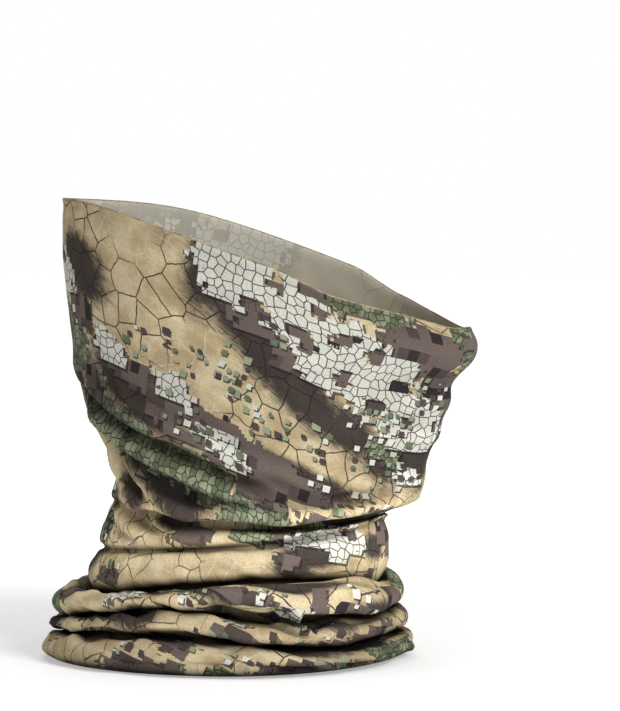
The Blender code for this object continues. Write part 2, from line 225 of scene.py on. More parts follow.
def resample(ring, share):
    """A ring given at even shares, read at other shares."""
    first, second, way = neighbours(len(ring), share)
    return ring[first] * (1 - way) + ring[second] * way


def form_at(table, z, share):
    """Form points at heights z and shares, arrays of the same shape."""
    place = np.clip((z - FORM_Z[0]) / FORM_STEP, 0, len(FORM_Z) - 1.001)
    row = place.astype(int)
    rise = (place - row)[..., None]
    first, second, way = neighbours(table.shape[1], share)
    low = table[row, first] * (1 - way) + table[row, second] * way
    high = table[row + 1, first] * (1 - way) + table[row + 1, second] * way
    return low * (1 - rise) + high * rise


def wander(share, seed, reach):
    """A slow random wave round the tube."""
    rng = np.random.RandomState(seed)
    phase = rng.uniform(0, TURN, 4)
    weight = rng.uniform(0.5, 1.0, 4) / np.array([1.0, 1.3, 1.8, 2.5])
    waves = zip(weight, (1, 2, 3, 5), phase)
    return reach * sum(size * np.sin(TURN * count * share + start) for size, count, start in waves)


def lift(name, share):
    """Extra height of a fold ring. The +X side has its own, slightly different, run of creases."""
    total = np.zeros_like(share)
    near = np.where(share <= 0.5, share, 1.0 - share)
    fine_share = np.linspace(0, 0.5, 101)
    kernel = np.hanning(13) / np.hanning(13).sum()
    for group, amount in LIFT_OF.get(name, {}).items():
        fine = np.interp(fine_share, *LIFTS[group])
        smooth = np.convolve(np.r_[fine[6:0:-1], fine, fine[-2:-8:-1]], kernel, "valid")
        here = np.interp(near, fine_share, smooth)
        there = 0.75 * np.interp(np.clip(near * 1.08 - 0.012, 0, 0.5), fine_share, smooth)
        mixed = ease(np.minimum(near, 0.5 - near) / 0.06)
        total += amount * np.where(share > 0.5, there * mixed + here * (1 - mixed), here)
    return total


def level_of(share, front_z, side_z, back_z):
    """Heights of a ring that passes through given heights at the front, the sides and the back."""
    to_front = 0.5 - 0.5 * np.cos(TURN * share)
    side = np.sin(TURN * share) ** 2
    return back_z + (front_z - back_z) * to_front + (side_z - (front_z + back_z) / 2) * side


def catmull(guides, counts):
    """Centripetal curves through the guide rows, counts[i] steps in span i, and the rows' marks."""
    guides = np.concatenate([2 * guides[:1] - guides[1:2], guides, 2 * guides[-1:] - guides[-2:-1]])
    rows, marks = [], []
    for i, count in enumerate(counts):
        points = guides[i : i + 4]
        knots = [0.0]
        for gap in np.linalg.norm(np.diff(points, axis=0), axis=2):
            knots.append(knots[-1] + np.maximum(gap, 1e-6)[:, None] ** 0.5)
        for k in range(count):
            at = knots[1] + (knots[2] - knots[1]) * k / count

            def blend(start, end, low, high):
                span = knots[end] - knots[start]
                return (knots[end] - at) / span * low + (at - knots[start]) / span * high

            first, second, third = (blend(j, j + 1, points[j], points[j + 1]) for j in range(3))
            early, late = blend(0, 2, first, second), blend(1, 3, second, third)
            rows.append(blend(1, 2, early, late))
            marks.append(i + k / count)
    rows.append(guides[-2])
    marks.append(len(counts))
    return np.array(rows), np.array(marks)


# ------------------------------------------------------------------------------------------------
# smooth cloth
# ------------------------------------------------------------------------------------------------
def cut_edge_heights(table, share):
    """The cut edge slopes up from nose to nape, sags on the way and levels off at the nape."""
    z = np.full(FINE, 200.0)
    for _ in range(8):
        forward = form_at(table, z, share)[:, 1]
        sag = ease((forward - 42.0) / 30.0) - ease((forward - 117.0) / 14.0)
        slope = NOSE_EDGE_Z + 0.352 * (129.0 - forward) - 4.6 * sag
        z = slope - np.logaddexp(0, (slope - NAPE_EDGE_Z) / 5.0) * 5.0
    return z


def fold_ring(ring, fine_share, share):
    """Grid points of one guide ring of the folds."""
    name, seed, half_width, front, back, front_z, side_z, back_z, reach = ring
    loop = by_length(oval(half_width, front, back, power=2.12))
    z = level_of(fine_share, front_z, side_z, back_z)
    out = loop / np.linalg.norm(loop, axis=1)[:, None]
    loop = loop + out * wander(fine_share, 11 + seed, reach)[:, None]
    z = z + wander(fine_share, 71 + seed, reach * 0.5) + lift(name, fine_share)
    return resample(np.column_stack([loop[:, 0], -loop[:, 1], z]), share)


def cloth_grid():
    """The mid-surface of the tube: rows [row, column, xyz], and each row's mark: below 0 on the
    face, then the number of the fold ring."""
    table = form_table()
    fine_share = np.arange(FINE) / FINE
    top_z = cut_edge_heights(table, fine_share)
    front_z, side_z, back_z = FOLDS[MARK["lip"]][5:8]
    jaw_z = level_of(fine_share, front_z + 6.0, side_z + 7.0, back_z + 7.0)
    columns = np.arange(COLUMNS) / COLUMNS
    rows, face_marks = [], []
    for way in np.linspace(0, 1, FACE_ROWS):
        share = columns - LEAN * way * np.sin(TURN * columns)
        z = resample((top_z + (jaw_z - top_z) * way)[:, None], share)[:, 0]
        section = form_at(table, z, share)
        rows.append(np.column_stack([section[:, 0], -section[:, 1], z]))
        face_marks.append(way - 2.0)
    # two face rows lead the curves into the folds
    guides = [rows[-3], rows[-1]] + [fold_ring(ring, fine_share, share) for ring in FOLDS]
    guides = np.array(guides)
    lengths = np.linalg.norm(np.diff(guides, axis=0), axis=2).mean(axis=1)
    counts = np.maximum(2, np.round(lengths / ROW_STEP)).astype(int)
    fold_rows, fold_marks = catmull(guides, counts)
    first = counts[0] + 1  # rows after the last face row
    rows = np.concatenate([np.array(rows), fold_rows[first:]])
    return rows, np.r_[np.array(face_marks), fold_marks[first:] - 2.0]


# ------------------------------------------------------------------------------------------------
# print: broad fields of the camouflage, as oval patches in print cells
# ------------------------------------------------------------------------------------------------
PERIOD = 95.0  # the patches repeat round the tube, in print cells

# Patches: centre U, centre V, the two radii, turn in degrees
WHITE = (
    (54, 3.2, 7.5, 4.6, 24), (63, 5.6, 8, 5.2, 20), (72, 9.6, 9.5, 6.2, 24), (81, 14.4, 9, 6, 28),
    (88, 19, 6, 5, 30), (30.5, 23.6, 4.5, 2.4, 20), (45, 25.6, 4, 2.6, 20), (56, 33, 5, 2.4, 15),
    (76.5, 46.6, 6, 1.4, -18), (83.6, 45.2, 4.4, 2.6, -10), (81.6, 48.4, 2.4, 1.8, 0),
    (12, 12, 8, 4.5, 24), (14, 51, 5, 2.6, 10), (74.8, 67.6, 2.3, 2.4, 0), (64, 78, 3, 1.2, -10),
    (45, 74.6, 5, 1.4, -34), (8, 66, 5, 2.6, 10), (14, 99, 7, 3, 5), (8, 90, 6, 3, 5),
    (90, 29, 3.2, 2, 20),
)
GREEN = (
    (75, 0.6, 9, 2.6, 5), (93.5, 2, 4, 4.6, 0), (17, 25, 6, 6, 50), (27, 35, 8.5, 5.2, 36),
    (40, 38.5, 9, 4.6, 14), (52, 40, 8, 4.2, 8), (63, 40.5, 6.5, 3.4, 0), (60, 44, 5.5, 2.4, -8),
    (65.5, 48.1, 4.3, 2.2, -20), (76.4, 43.7, 3.6, 1.5, -12), (84, 24.5, 3.5, 2.4, 20),
    (4, 18, 6, 7, 30), (52.5, 68.8, 5, 1.8, 0), (91, 80.2, 7, 2.2, -8), (31, 86, 4, 2.6, 0),
    (8, 60, 7, 4, 12), (20, 84, 6, 3, 6), (70, 96, 9, 3, 4),
)
BROWN = (
    (85, 6.2, 8, 4.6, 14), (93, 12.5, 5, 5.5, 40), (56.5, 9.2, 3.6, 3, 20), (63, 12.5, 5, 2.6, 24),
    (49, 1.6, 3.2, 2.6, 0), (66, 1.8, 2.6, 2.4, 0), (21, 18.5, 7, 3, 30), (33, 25, 7.5, 3, 22),
    (45, 28.8, 9, 3.4, 16), (58, 31.2, 9, 3, 12), (69, 33.8, 8, 2.6, 12), (63, 36.6, 6, 3, 6),
    (76, 39.6, 5, 1.5, 4), (54.2, 52.2, 5, 1.8, -20), (71, 45.4, 1.7, 1.7, 0),
    (72.8, 51.2, 1.9, 1.7, -15), (31, 66.5, 5, 1.5, 0), (57, 75.2, 6.5, 1.7, -14),
    (82.6, 65.6, 3.4, 1.4, -12), (77.6, 64.6, 1.4, 2.4, 0), (66, 66.4, 4, 1.2, -6),
    (94, 62.6, 3.6, 2.3, 0), (72.6, 71.2, 2.6, 2.2, 10), (39, 86.2, 6.5, 2.4, -18),
    (67, 81.7, 6, 1.4, -8), (77, 79, 7, 1.4, -22), (88, 73.6, 6, 1.5, -26), (22, 80, 8, 2.6, 6),
    (52, 33.6, 7, 2, 10), (24, 30.5, 5, 2.2, 40), (94, 17, 4, 3, 0), (54.5, 90.8, 3.8, 2.3, 0),
    (52, 97.2, 7.5, 2, -12), (75, 86.6, 6, 1.3, -28), (12, 36, 6, 3.5, 30), (5, 45, 8, 3.2, 10),
    (14, 72, 8, 2.8, 6), (88, 97, 8, 3, 4), (3, 4, 6, 4, 20), (91, 53, 2.4, 3, 0),
)
# gaps in the white that are filled with brown
HOLES = (
    (57.5, 7.8, 2.4, 1.5, 20), (60.5, 2.4, 1.7, 1.3, 0), (64.5, 9.8, 2.8, 1.5, 24),
    (67.5, 3.8, 2.2, 1.3, 10), (73, 13.6, 2.4, 1.3, 20), (76.5, 8.2, 1.7, 1.2, 0),
    (80, 17.8, 2, 1.3, 0), (84, 13, 1.7, 1.3, 0), (86.5, 18.8, 1.5, 1.1, 0),
    (70.8, 7, 2.8, 1.2, -30), (14, 10, 2, 1.3, 10), (84.5, 44.2, 1.8, 1.2, 0),
)
# dark airbrushed clouds of the print; those along the hollows round the fold behind the jaw and under
# the jaw lip are painted shade
CLOUD_AND_SHADE = (
    (50, 4.5, 4.6, 7, 10), (57, 13, 9, 3.8, 42), (67, 18.6, 9, 3.6, 28), (77, 22.6, 7, 3.2, 24),
    (86, 25.4, 6, 4.2, 10), (93, 22, 4, 9, 0), (37, 30, 12, 3.6, 18), (72, 32.5, 9, 2, 8),
    (41, 43.6, 12, 2.6, 6), (22, 36, 8, 4, 40), (33, 37.4, 10, 1.8, 14), (49, 37.6, 8, 1.6, 4),
    (21, 57, 4, 6, 0), (46, 46.4, 7, 2, 4), (33, 49, 5, 1.6, 20), (48, 51.6, 5, 1.6, -10),
    (71, 46.4, 6, 2.4, -20), (82, 41.4, 8, 1.6, -14), (90, 37.5, 8, 2.2, -6),
    (77, 49.6, 5.5, 2.2, -10), (91, 46, 3.2, 2.6, 0), (74, 52.5, 3.5, 1.8, 0),
    (44, 71.5, 9, 2.2, -10), (58, 68.6, 6, 1.6, -6), (72, 62.2, 9, 1.4, -8), (88, 64.8, 4, 1.8, 0),
    (79.5, 72.4, 4, 2, 0), (53, 77.2, 9, 1.8, -10), (47, 85.2, 4.5, 2.6, -10),
    (72, 83.4, 10, 1.6, -14), (86, 78, 7, 1.6, -20), (86, 88, 8, 3, 4), (20, 96, 9, 3, 4),
    (22, 11, 8, 5, 30), (10, 28, 5, 9, 20), (14, 66, 7, 3, 6),
)
SPECKS = (
    (46, 19, 6, 4, 30), (56, 20, 8, 5, 28), (62, 25, 7, 4, 20), (70, 26, 8, 5, 24),
    (82, 20, 8, 5, 26), (84, 27, 9, 4.5, 24), (74, 32, 6, 2.6, 10), (82, 33, 6, 3, 6),
    (36, 21, 6, 4, 26), (50, 31, 12, 4, 16), (88, 14, 6, 6, 20), (62, 12, 6, 2.5, 24),
    (31, 66, 6, 3.4, 0), (37, 60, 4, 2, 0), (82, 36, 8, 3.5, -6), (59, 71, 4, 3, 0),
    (69, 66, 5, 2.4, 0), (85, 62, 5, 2.6, 0), (64, 78, 4, 2, 0), (78, 74, 5, 3, 6),
    (24, 58, 6, 4, 0), (92, 41, 4, 3, 0), (64, 83.4, 7, 2, -16), (75, 78.6, 8, 2, -14),
    (90, 75, 5, 2.4, -20), (55, 90, 7, 3, -6), (50, 95, 7, 3, 0), (66, 90, 6, 2, -16),
    (82, 83, 6, 2, -20), (36, 92, 4, 3, 0), (14, 20, 7, 5, 30), (26, 92, 8, 4, 4),
    (78, 90, 8, 4, 4), (6, 76, 8, 4, 4),
)
# name, patches, seed, roughness of the rim, holes
PAINTS = (
    ("white", WHITE, 21, 0.20, HOLES), ("green", GREEN, 31, 0.20, ()),
    ("brown", BROWN + HOLES, 41, 0.22, ()), ("specks", SPECKS, 51, 0.25, ()),
)


def lattice(x, y, seed, period):
    """Smooth value noise, -1 to 1, that repeats along x."""
    table = np.random.RandomState(seed).uniform(-1, 1, (64, 64))
    left, top = np.floor(x).astype(int), np.floor(y).astype(int)
    way_x, way_y = ease(x - left), ease(y - top)

    def row(j):
        start, end = (table[(i % period) % 64, j % 64] for i in (left, left + 1))
        return start * (1 - way_x) + end * way_x

    return row(top) * (1 - way_y) + row(top + 1) * way_y


def blob(cell_u, cell_v, patch):
    """1 at the centre of an oval patch, 0 on its rim, negative outside."""
    centre_u, centre_v, radius_a, radius_b, degrees = patch
    cos, sin = math.cos(math.radians(degrees)), math.sin(math.radians(degrees))
    best = np.full(cell_u.shape, -9.0)
    for k in (-1, 0, 1, 2):
        x, y = cell_u - centre_u - k * PERIOD, cell_v - centre_v
        along = (x * cos + y * sin) / radius_a
        aside = (-x * sin + y * cos) / radius_b
        best = np.maximum(best, 1.0 - np.sqrt(along * along + aside * aside + 1e-6))
    return best


def field(cell_u, cell_v, patches, seed, rough, holes=()):
    """The union of the patches less the holes, with a rough rim."""
    best = np.full(cell_u.shape, -1.5)
    for patch in patches:
        best = np.maximum(best, blob(cell_u, cell_v, patch))
    for hole in holes:
        best = np.minimum(best, -blob(cell_u, cell_v, hole))
    broad = lattice(cell_u / 5.0, cell_v / 3.4, seed, 38)
    close = lattice(cell_u * 73 / 190.0, cell_v / 2.0, seed + 1, 73)
    return best + rough * broad + 0.6 * rough * close


def with_slope(cell_u, cell_v, *paint):
    """A field and its slope along U and V, so that a shader can read it at a cell's centre."""
    step = 0.75
    here, right, left, low, high = (
        field(cell_u + x * step, cell_v + y * step, *paint)
        for x, y in ((0, 0), (1, 0), (-1, 0), (0, 1), (0, -1))
    )
    return np.stack([here, (right - left) / (2 * step), (low - high) / (2 * step)], axis=-1)


def print_fields(cell_u, cell_v, painted_shading):
    """All the broad fields. The last argument is the painted light and shade: how light or dark the
    folds and the lighting make the cloth.
    """
    fields = {"paint_" + name: with_slope(cell_u, cell_v, *paint) for name, *paint in PAINTS}
    cracks = lattice(cell_u * 15 / 190.0, cell_v / 9.0, 71, 15)
    cracks = cracks + 0.5 * lattice(cell_u * 32 / 190.0, cell_v / 5.0, 72, 32)
    cloud_and_shade = field(cell_u, cell_v, CLOUD_AND_SHADE, seed=61, rough=0.16)
    # the print's clouds (painted shade in the hollows round the jaw), the crack style, and the painted
    # light and shade
    fields["paint_soft"] = np.stack([cloud_and_shade, cracks, painted_shading], axis=-1)
    return fields


# ------------------------------------------------------------------------------------------------
# shader graphs written as formulas
# ------------------------------------------------------------------------------------------------
class Value:
    """A node output. Its operators and methods add the nodes that follow it."""

    def __init__(self, tree, socket, vector):
        self.tree, self.socket, self.vector = tree, socket, vector

    def calc(self, operation, other=0.0):
        vector = self.vector or isinstance(other, tuple) or getattr(other, "vector", False)
        kind = "ShaderNodeVectorMath" if vector else "ShaderNodeMath"
        vector = vector and operation not in ("DOT_PRODUCT", "LENGTH")
        output = "Vector" if vector else "Value"
        return new_value(kind, {0: self, 1: other}, output, vector, operation=operation)

    def __add__(self, other):
        return self.calc("ADD", other)

    def __sub__(self, other):
        return self.calc("SUBTRACT", other)

    def __mul__(self, other):
        return self.calc("MULTIPLY", other)

    __radd__ = __add__

    def above(self, level):
        return self.calc("GREATER_THAN", level)

    def parts(self):
        x = new_value("ShaderNodeSeparateXYZ", {0: self})
        return [Value(self.tree, output, False) for output in x.socket.node.outputs]

    def white(self):
        """An even random number for each point."""
        inputs = {"Vector": self}
        return new_value("ShaderNodeTexWhiteNoise", inputs, "Value", noise_dimensions="3D")

    def noise(self, scale, detail, rough=0.5, vector=False):
        inputs = {"Vector": self, "Scale": scale, "Detail": detail, "Roughness": rough}
        output = "Color" if vector else 0
        return new_value("ShaderNodeTexNoise", inputs, output, vector, noise_dimensions="3D")

    def cells(self, size, random, colour=False):
        """Distance to the edge of an irregular cell, or the cell's random colour."""
        return new_value(
            "ShaderNodeTexVoronoi", {"Vector": self, "Scale": 1 / size, "Randomness": random},
            "Color" if colour else "Distance", colour,
            feature="F1" if colour else "DISTANCE_TO_EDGE", voronoi_dimensions="2D",
        )

    def ramp(self, start, end, low=0.0, high=1.0):
        """A smooth step from low at start to high at end."""
        inputs = {"Value": self, "From Min": start, "From Max": end, "To Min": low, "To Max": high}
        kind = "ShaderNodeMapRange"
        return new_value(kind, inputs, "Result", interpolation_type="SMOOTHSTEP")

    def line(self, full, gone):
        """1 on the edges of cells, 0 inside them."""
        return self.ramp(full, gone, low=1.0, high=0.0)

    def tint(self, colour):
        """A colour times this number."""
        inputs = {0: colour, "Scale": self}
        return new_value("ShaderNodeVectorMath", inputs, 0, vector=True, operation="SCALE")


def feed(socket, value):
    """Link a value to an input, or set the input to a number, a tuple or a colour."""
    if isinstance(value, Value):
        value.tree.links.new(value.socket, socket)
    elif socket.type == "VECTOR" and isinstance(value, (int, float)):
        socket.default_value = (value, value, value)
    elif socket.type == "RGBA":
        socket.default_value = (*value, 1.0)
    else:
        socket.default_value = value


def new_value(kind, inputs, output=0, vector=False, tree=None, **settings):
    """A new node's output. The node goes into the tree of its inputs if none is given."""
    tree = tree or next(v.tree for v in inputs.values() if isinstance(v, Value))
    node = tree.nodes.new(kind)
    for key, setting in settings.items():
        setattr(node, key, setting)
    for key, value in inputs.items():
        feed(node.inputs[key], value)
    return Value(tree, node.outputs[output], vector)


def combine(*parts):
    return new_value("ShaderNodeCombineXYZ", dict(enumerate(parts)), vector=True)


def mix(factor, under, over):
    inputs = {0: factor, 6: under, 7: over}
    return new_value("ShaderNodeMix", inputs, 2, data_type="RGBA", clamp_factor=True)


def attribute(tree, name):
    return new_value("ShaderNodeAttribute", {}, "Vector", True, tree, attribute_name=name)


def object_place(tree):
    return new_value("ShaderNodeTexCoord", {}, "Object", True, tree)


def new_material(name, roughness, specular):
    """A material, its node tree and the inputs of its shader."""
    material = bpy.data.materials.new(name)
    material.use_nodes = True
    inputs = material.node_tree.nodes["Principled BSDF"].inputs
    inputs["Roughness"].default_value = roughness
    inputs["Specular IOR Level"].default_value = specular
    return material, material.node_tree, inputs


def srgb(*colour):
    """A linear colour from 0-255 values."""
    return tuple(
        c / 255.0 / 12.92 if c / 255.0 <= 0.04045 else ((c / 255.0 + 0.055) / 1.055) ** 2.4
        for c in colour
    )


# ------------------------------------------------------------------------------------------------
# camouflage
# ------------------------------------------------------------------------------------------------
TAN = srgb(182, 162, 126)
TAN_LIGHT = srgb(214, 197, 160)
OFF_WHITE = srgb(216, 215, 203)
GREEN_PALE = srgb(150, 158, 130)
GREEN_MID = srgb(106, 118, 92)
GREEN_DARK = srgb(98, 107, 82)
BROWN_PALE = srgb(108, 95, 89)
BROWN_DARK = srgb(84, 73, 71)
CHARCOAL = srgb(48, 42, 46)
LINE_DARK = srgb(58, 46, 43)
LINE_PALE = srgb(205, 196, 170)

COARSE = 2.0                      # side of a coarse cell, in print cells
SHADOW_SHIFT = (0.48, 0.48, 0.0)  # of the patches' shadows, in print cells
# rims of the patches: seed, random step of coarse cells, random step of single cells
RIMS = {"green": (3.0, 0.34, 0.34), "white": (5.0, 0.34, 0.30), "brown": (8.0, 0.40, 0.26)}


def cell_centre(point, size):
    return ((point * (1.0 / size)).calc("FLOOR") + (0.5, 0.5, 0.0)) * size


def patch_mask(paint, point, at, seed, jitter, fine):
    """1 where the patch covers the cell that holds the place at."""
    coarse = cell_centre(at, COARSE)
    single = cell_centre(at, 1.0)
    x, y, _ = (coarse * 0.6 + single * 0.4 - point).parts()
    value = paint.calc("DOT_PRODUCT", combine(1.0, x, y))
    coarse_step = (coarse + (seed, 0.37, 0.0)).white() * jitter
    step = coarse_step + (single + (seed, 7.1, 0.0)).white() * fine
    return (value + step).above(0.5 * (jitter + fine))


def tan_ground(point, wobble, grain, cloud_and_shade_field, crack_field):
    """Tan with dry-earth cracks, dark in some areas and pale in others, under dark clouds that are
    print in most places and painted shade in the hollows round the jaw.
    """
    dark_cells = (point + wobble).cells(size=4.7, random=0.9)
    pale_place = point * (1.0, 1.0, 0.0) + wobble + (37.2, 11.9, 0.0)
    pale_cells = pale_place.cells(size=4.4, random=0.95)
    tone = point.noise(scale=0.16, detail=3.0, rough=0.6)
    ground = mix(tone.ramp(start=0.35, end=0.68), TAN, TAN_LIGHT)
    pale = pale_cells.line(full=0.018, gone=0.034)
    pale_share = pale * crack_field.ramp(start=-0.55, end=0.15) * 0.75
    ground = mix(pale_share, ground, LINE_PALE)
    dark = dark_cells.line(full=0.014, gone=0.036)
    ground = mix(dark * crack_field.ramp(start=0.55, end=0.0) * 0.92, ground, LINE_DARK)
    # airbrushed clouds of the print with a grain and slanting strokes; along the hollows round the jaw
    # they are painted shade
    x, y, _ = point.parts()
    stroke_place = combine((x * 0.9 + y * 0.4) * 0.45, (y * 0.9 - x * 0.4) * 3.0)
    strokes = stroke_place.noise(scale=1.0, detail=3.0, rough=0.65)
    cloud_and_shade = cloud_and_shade_field + (grain - 0.5) * 0.4
    cloud_and_shade = cloud_and_shade + (point.noise(scale=0.5, detail=3.0, rough=0.6) - 0.5) * 0.6
    cloud_and_shade = (cloud_and_shade + (strokes - 0.5) * 0.9).ramp(start=-0.50, end=0.32)
    return mix(cloud_and_shade * 0.94, ground, CHARCOAL)


def brown_blocks(point, grain, cracks):
    """Flat and grainy, with darker blocks and some veiled cells."""
    coarse = cell_centre(point, COARSE)
    pick = (coarse + (1.7, 0.0, 0.0)).white()
    brown = mix(pick.ramp(start=0.70, end=0.78), BROWN_PALE, BROWN_DARK)
    brown = mix(pick.above(0.90) * 0.85, brown, CHARCOAL)
    veil = coarse.noise(scale=0.11, detail=1.0).above(0.56)
    brown = mix(cracks.line(full=0.03, gone=0.07) * veil * 0.7, brown, CHARCOAL)
    return (0.78 + grain * 0.44).tint(brown)


def loose_squares(specks, at, base, size, seed, level, spread):
    """Skewed squares on a lattice of the given size, each with its own shadow."""
    centre = cell_centre(at, size)

    def random(salt):
        return (centre + (seed, salt, 0.0)).white()

    chance = random(1.9)
    side = random(4.4)
    skew = (random(6.6) - 0.5) * 0.5
    half = size * 0.24 + side * size * 0.14

    def inside(place):
        x, y, _ = (place - centre).parts()
        x = (x + y * skew).calc("ABSOLUTE")
        y = (y - x * skew * 0.4).calc("ABSOLUTE")
        return x.calc("LESS_THAN", half) * y.calc("LESS_THAN", half * 0.88)

    x, y, _ = (centre - at).parts()
    density = specks.calc("DOT_PRODUCT", combine(1.0, x, y))
    here = (chance + density * spread).above(level)
    shadow = inside(at - (0.20, 0.22, 0.0)) * here
    body = inside(at + (0.06, 0.06, 0.0)) * here
    kind = random(9.2)
    fill = OFF_WHITE
    for start, colour in ((0.24, GREEN_PALE), (0.50, BROWN_DARK), (0.80, GREEN_MID)):
        fill = mix(kind.above(start), fill, colour)
    return mix(body, mix(shadow * 0.85, base, CHARCOAL), fill)


def camo_colour(tree):
    """The print's UV point and its colour. One print cell is one UV unit."""
    point = new_value("ShaderNodeUVMap", {}, 0, True, tree, uv_map="print")
    paints = {name: attribute(tree, "paint_" + name) for name, *_ in PAINTS}
    # the soft field: the print's clouds (painted shade in the hollows round the jaw), the crack style,
    # and the painted light and shade
    cloud_and_shade_field, crack_field, painted_shading = attribute(tree, "paint_soft").parts()

    wobble = (point.noise(scale=0.55, detail=1.0, vector=True) - (0.5, 0.5, 0.5)) * 0.5
    small_place = point + wobble * 0.5
    small = small_place.cells(size=1.6, random=0.75)
    small_pick = small_place.cells(size=1.6, random=0.75, colour=True).parts()[1]
    tiny_place = small_place + (3.3, 8.8, 0.0)
    tiny = tiny_place.cells(size=1.22, random=0.8)
    tiny_pick = tiny_place.cells(size=1.22, random=0.8, colour=True).parts()[0]
    grain = point.noise(scale=9.0, detail=2.0, rough=0.7)

    # green and off-white patches are made of small cells with dark lines between them
    shade = point.noise(scale=0.3, detail=2.0) + (tiny_pick - 0.5) * 0.25
    green = mix(shade.ramp(start=0.35, end=0.68), GREEN_DARK, GREEN_PALE)
    green = mix(tiny.line(full=0.040, gone=0.105) * 0.9, green, LINE_DARK)
    white = (0.90 + small_pick * 0.12).tint(OFF_WHITE)
    white = mix(small.line(full=0.032, gone=0.078) * 0.94, white, LINE_DARK)
    brown = brown_blocks(point, grain, tiny)

    colour = tan_ground(point, wobble, grain, cloud_and_shade_field, crack_field)
    shadow_place = point - SHADOW_SHIFT
    for name, over in (("green", green), ("brown", brown), ("white", white)):
        shadow, mask = (
            patch_mask(paints[name], point, at, *RIMS[name]) for at in (shadow_place, point)
        )
        colour = mix(mask, mix(shadow * 0.80, colour, CHARCOAL), over)
    specks = paints["specks"]
    shifted = point + (0.31, 0.17, 0.0)
    colour = loose_squares(specks, shifted, colour, size=2.0, seed=13.0, level=0.99, spread=0.62)
    colour = loose_squares(specks, point, colour, size=1.45, seed=17.0, level=1.00, spread=0.60)
    # the jersey's own grain in the colour, times the painted light and shade of the folds, ridges and
    # heights
    fleck = point.noise(scale=2.8, detail=3.0, rough=0.9).ramp(start=0.36, end=0.64)
    return point, ((0.84 + fleck * 0.30) * painted_shading).tint(colour)


# ------------------------------------------------------------------------------------------------
# materials
# ------------------------------------------------------------------------------------------------
def knit_print():
    """The outer face, with the fine wales of the knit as a bump."""
    material, tree, inputs = new_material("knit_print", roughness=0.88, specular=0.06)
    point, colour = camo_colour(tree)
    feed(inputs["Base Color"], colour)
    x, y, _ = point.parts()
    # wales and courses to a print cell
    wale = (x * (TURN * 3.5)).calc("SINE") * (y * (TURN * 2.6)).calc("SINE")
    height = wale * 0.35 + point.noise(scale=6.0, detail=3.0, rough=0.6) * 1.2
    bump = {"Strength": 0.35, "Distance": 0.00022, "Height": height}
    feed(inputs["Normal"], new_value("ShaderNodeBump", bump, vector=True))
    return material


def knit_reverse():
    """The inner face: paler, with the print showing through."""
    material, tree, inputs = new_material("knit_reverse", roughness=0.9, specular=0.2)
    colour = camo_colour(tree)[1]
    feed(inputs["Base Color"], mix(0.62, colour, srgb(205, 200, 186)))
    return material


def speckled(name, dark, light, scale, roughness):
    """A plain yarn colour with a fine fleck."""
    material, tree, inputs = new_material(name, roughness, specular=0.25)
    fleck = object_place(tree).noise(scale, detail=2.0, rough=0.7).ramp(start=0.35, end=0.65)
    feed(inputs["Base Color"], mix(fleck, dark, light))
    return material


def floor_paper():
    """White paper that glows more further out, so that it runs into the backdrop without a line."""
    material, tree, inputs = new_material("floor_paper", roughness=0.9, specular=0.1)
    feed(inputs["Base Color"], (0.92, 0.92, 0.92))
    feed(inputs["Emission Color"], (1, 1, 1))
    distance = object_place(tree).calc("LENGTH")
    glow = distance.ramp(start=0.16, end=0.80, low=0.38, high=0.94)
    feed(inputs["Emission Strength"], glow)
    return material


# ------------------------------------------------------------------------------------------------
# folds: ridges and hollows that run across the cloth
# ------------------------------------------------------------------------------------------------
CREASES = ("tuck", "crease_a_in", "gather_a", "gather_b", "gather_c")
# extra depth of the creases below the jaw
CREASE_DEPTHS = (("crease_a_in", 1.2), ("gather_a", 2.2), ("gather_b", 2.0), ("gather_c", 2.0))

